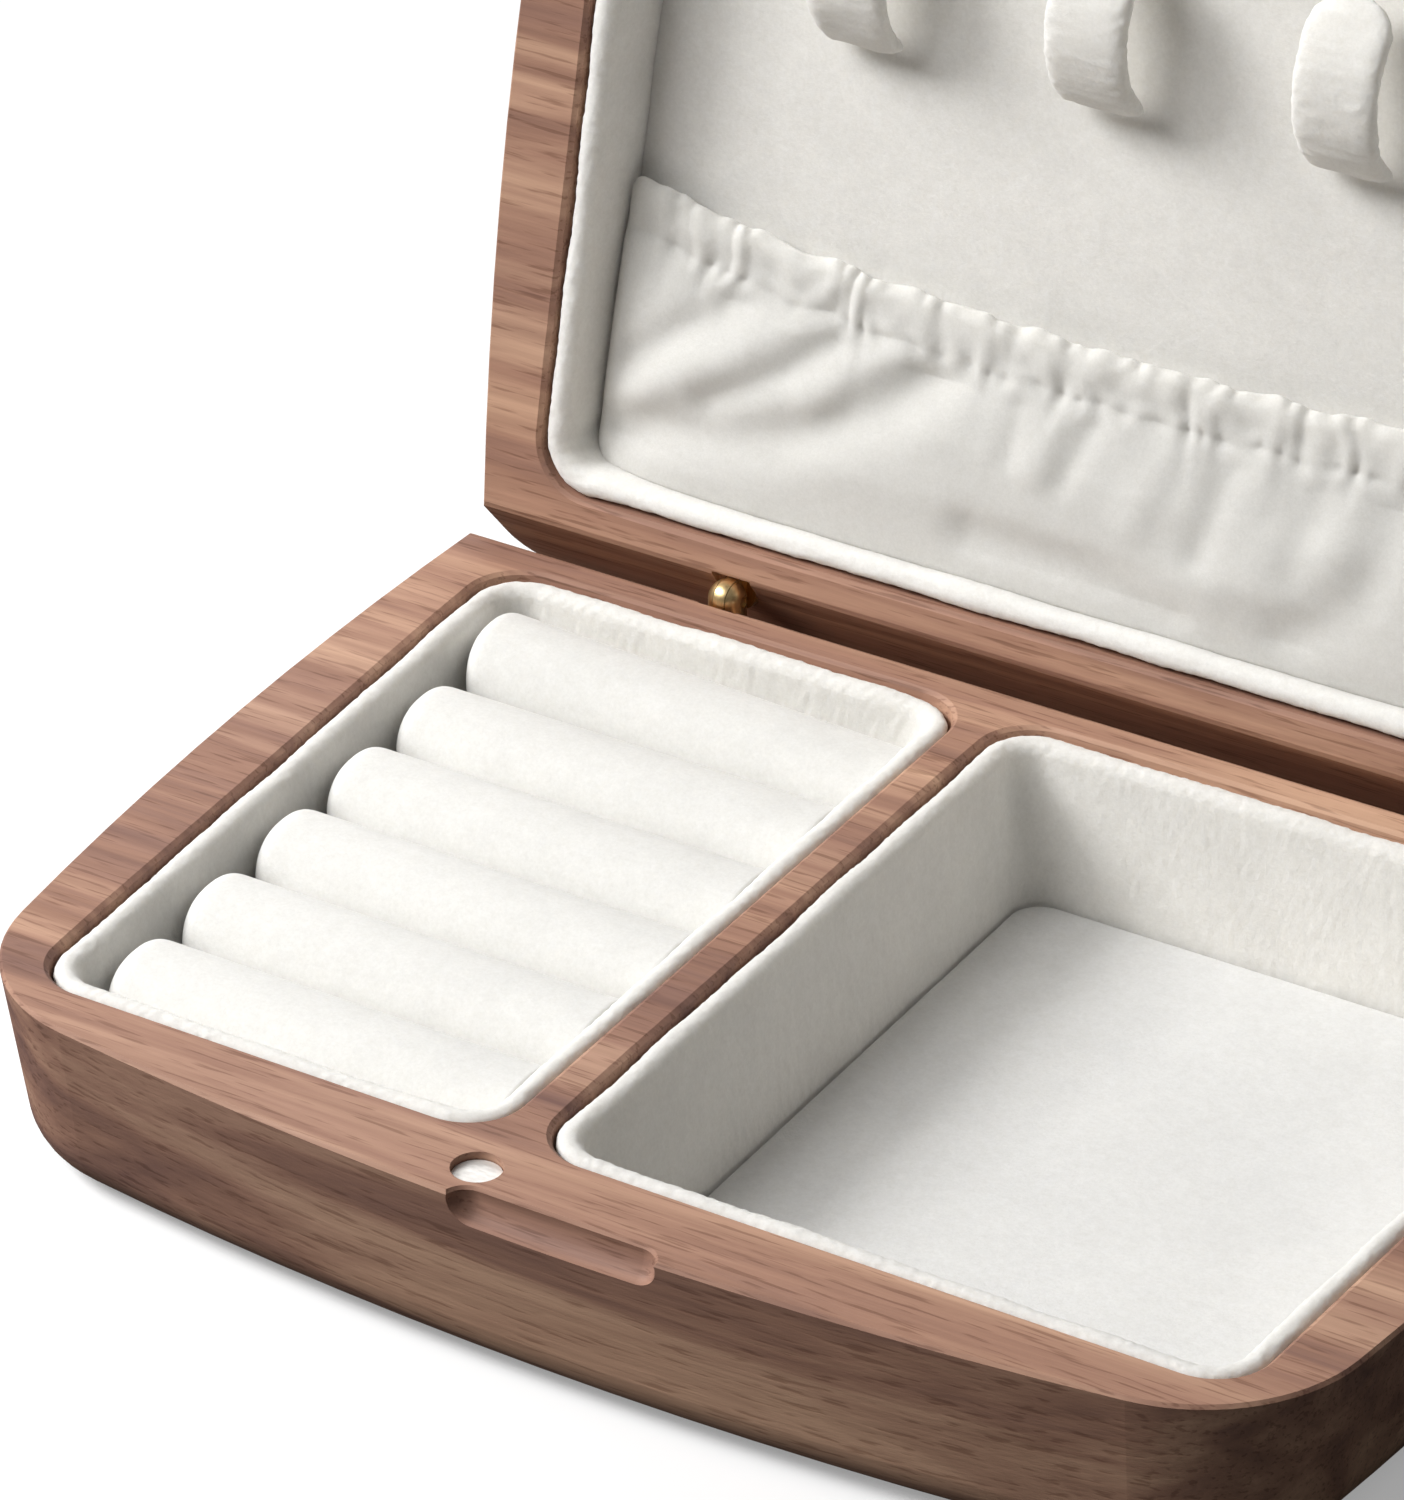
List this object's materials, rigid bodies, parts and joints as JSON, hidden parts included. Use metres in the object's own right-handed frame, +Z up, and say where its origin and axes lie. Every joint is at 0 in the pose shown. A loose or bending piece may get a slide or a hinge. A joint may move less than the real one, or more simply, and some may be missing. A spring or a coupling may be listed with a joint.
{
  "type": "jewellery box",
  "caption": "Hinged walnut jewellery box standing open: velvet ring rolls and a lined tray in the base, necklace straps and a gathered pocket in the lid.",
  "frame": {"origin": "middle of the flat bottom face of the base, halfway between the rim's front and the hinge edge", "axes": "+X to the user's right along the hinge line, +Y to the back, +Z up; the lid stands open at rest"},
  "size_m": [0.1898, 0.1738, 0.1574],
  "materials": {
    "walnut": "oiled, satin",
    "velvet": "short cream pile",
    "pocket_cloth": "cream suede cloth, gathered",
    "brass": "turned, satin",
    "magnet": "nickel plated",
    "elastic": "woven cream band"
  },
  "bodies": {
    "base": {"base_body": "walnut", "ring_tray_liner": "velvet", "ring_bed": "velvet", "ring_roll_1": "velvet", "ring_roll_2": "velvet", "ring_roll_3": "velvet", "ring_roll_4": "velvet", "ring_roll_5": "velvet", "ring_roll_6": "velvet", "tray_liner": "velvet", "tray_floor_pad": "velvet", "base_magnet": "magnet", "hinge_left_base_barrel": "brass", "hinge_left_pin": "brass", "hinge_right_base_barrel": "brass", "hinge_right_pin": "brass"},
    "lid": {"lid_body": "walnut", "lid_liner": "velvet", "lid_panel": "velvet", "necklace_hook_1": "velvet", "necklace_hook_2": "velvet", "necklace_hook_3": "velvet", "necklace_hook_4": "velvet", "lid_pocket": "pocket_cloth", "pocket_elastic": "elastic", "lid_magnet": "magnet", "hinge_left_lid_barrel": "brass", "hinge_right_lid_barrel": "brass"}
  },
  "joints": [
    {"name": "lid_hinge", "type": "hinge", "parent": "base", "child": "lid", "pos_m": [0, 0.0678, 0.026], "axis": [1, 0, 0], "range_deg": [0, 98]}
  ]
}
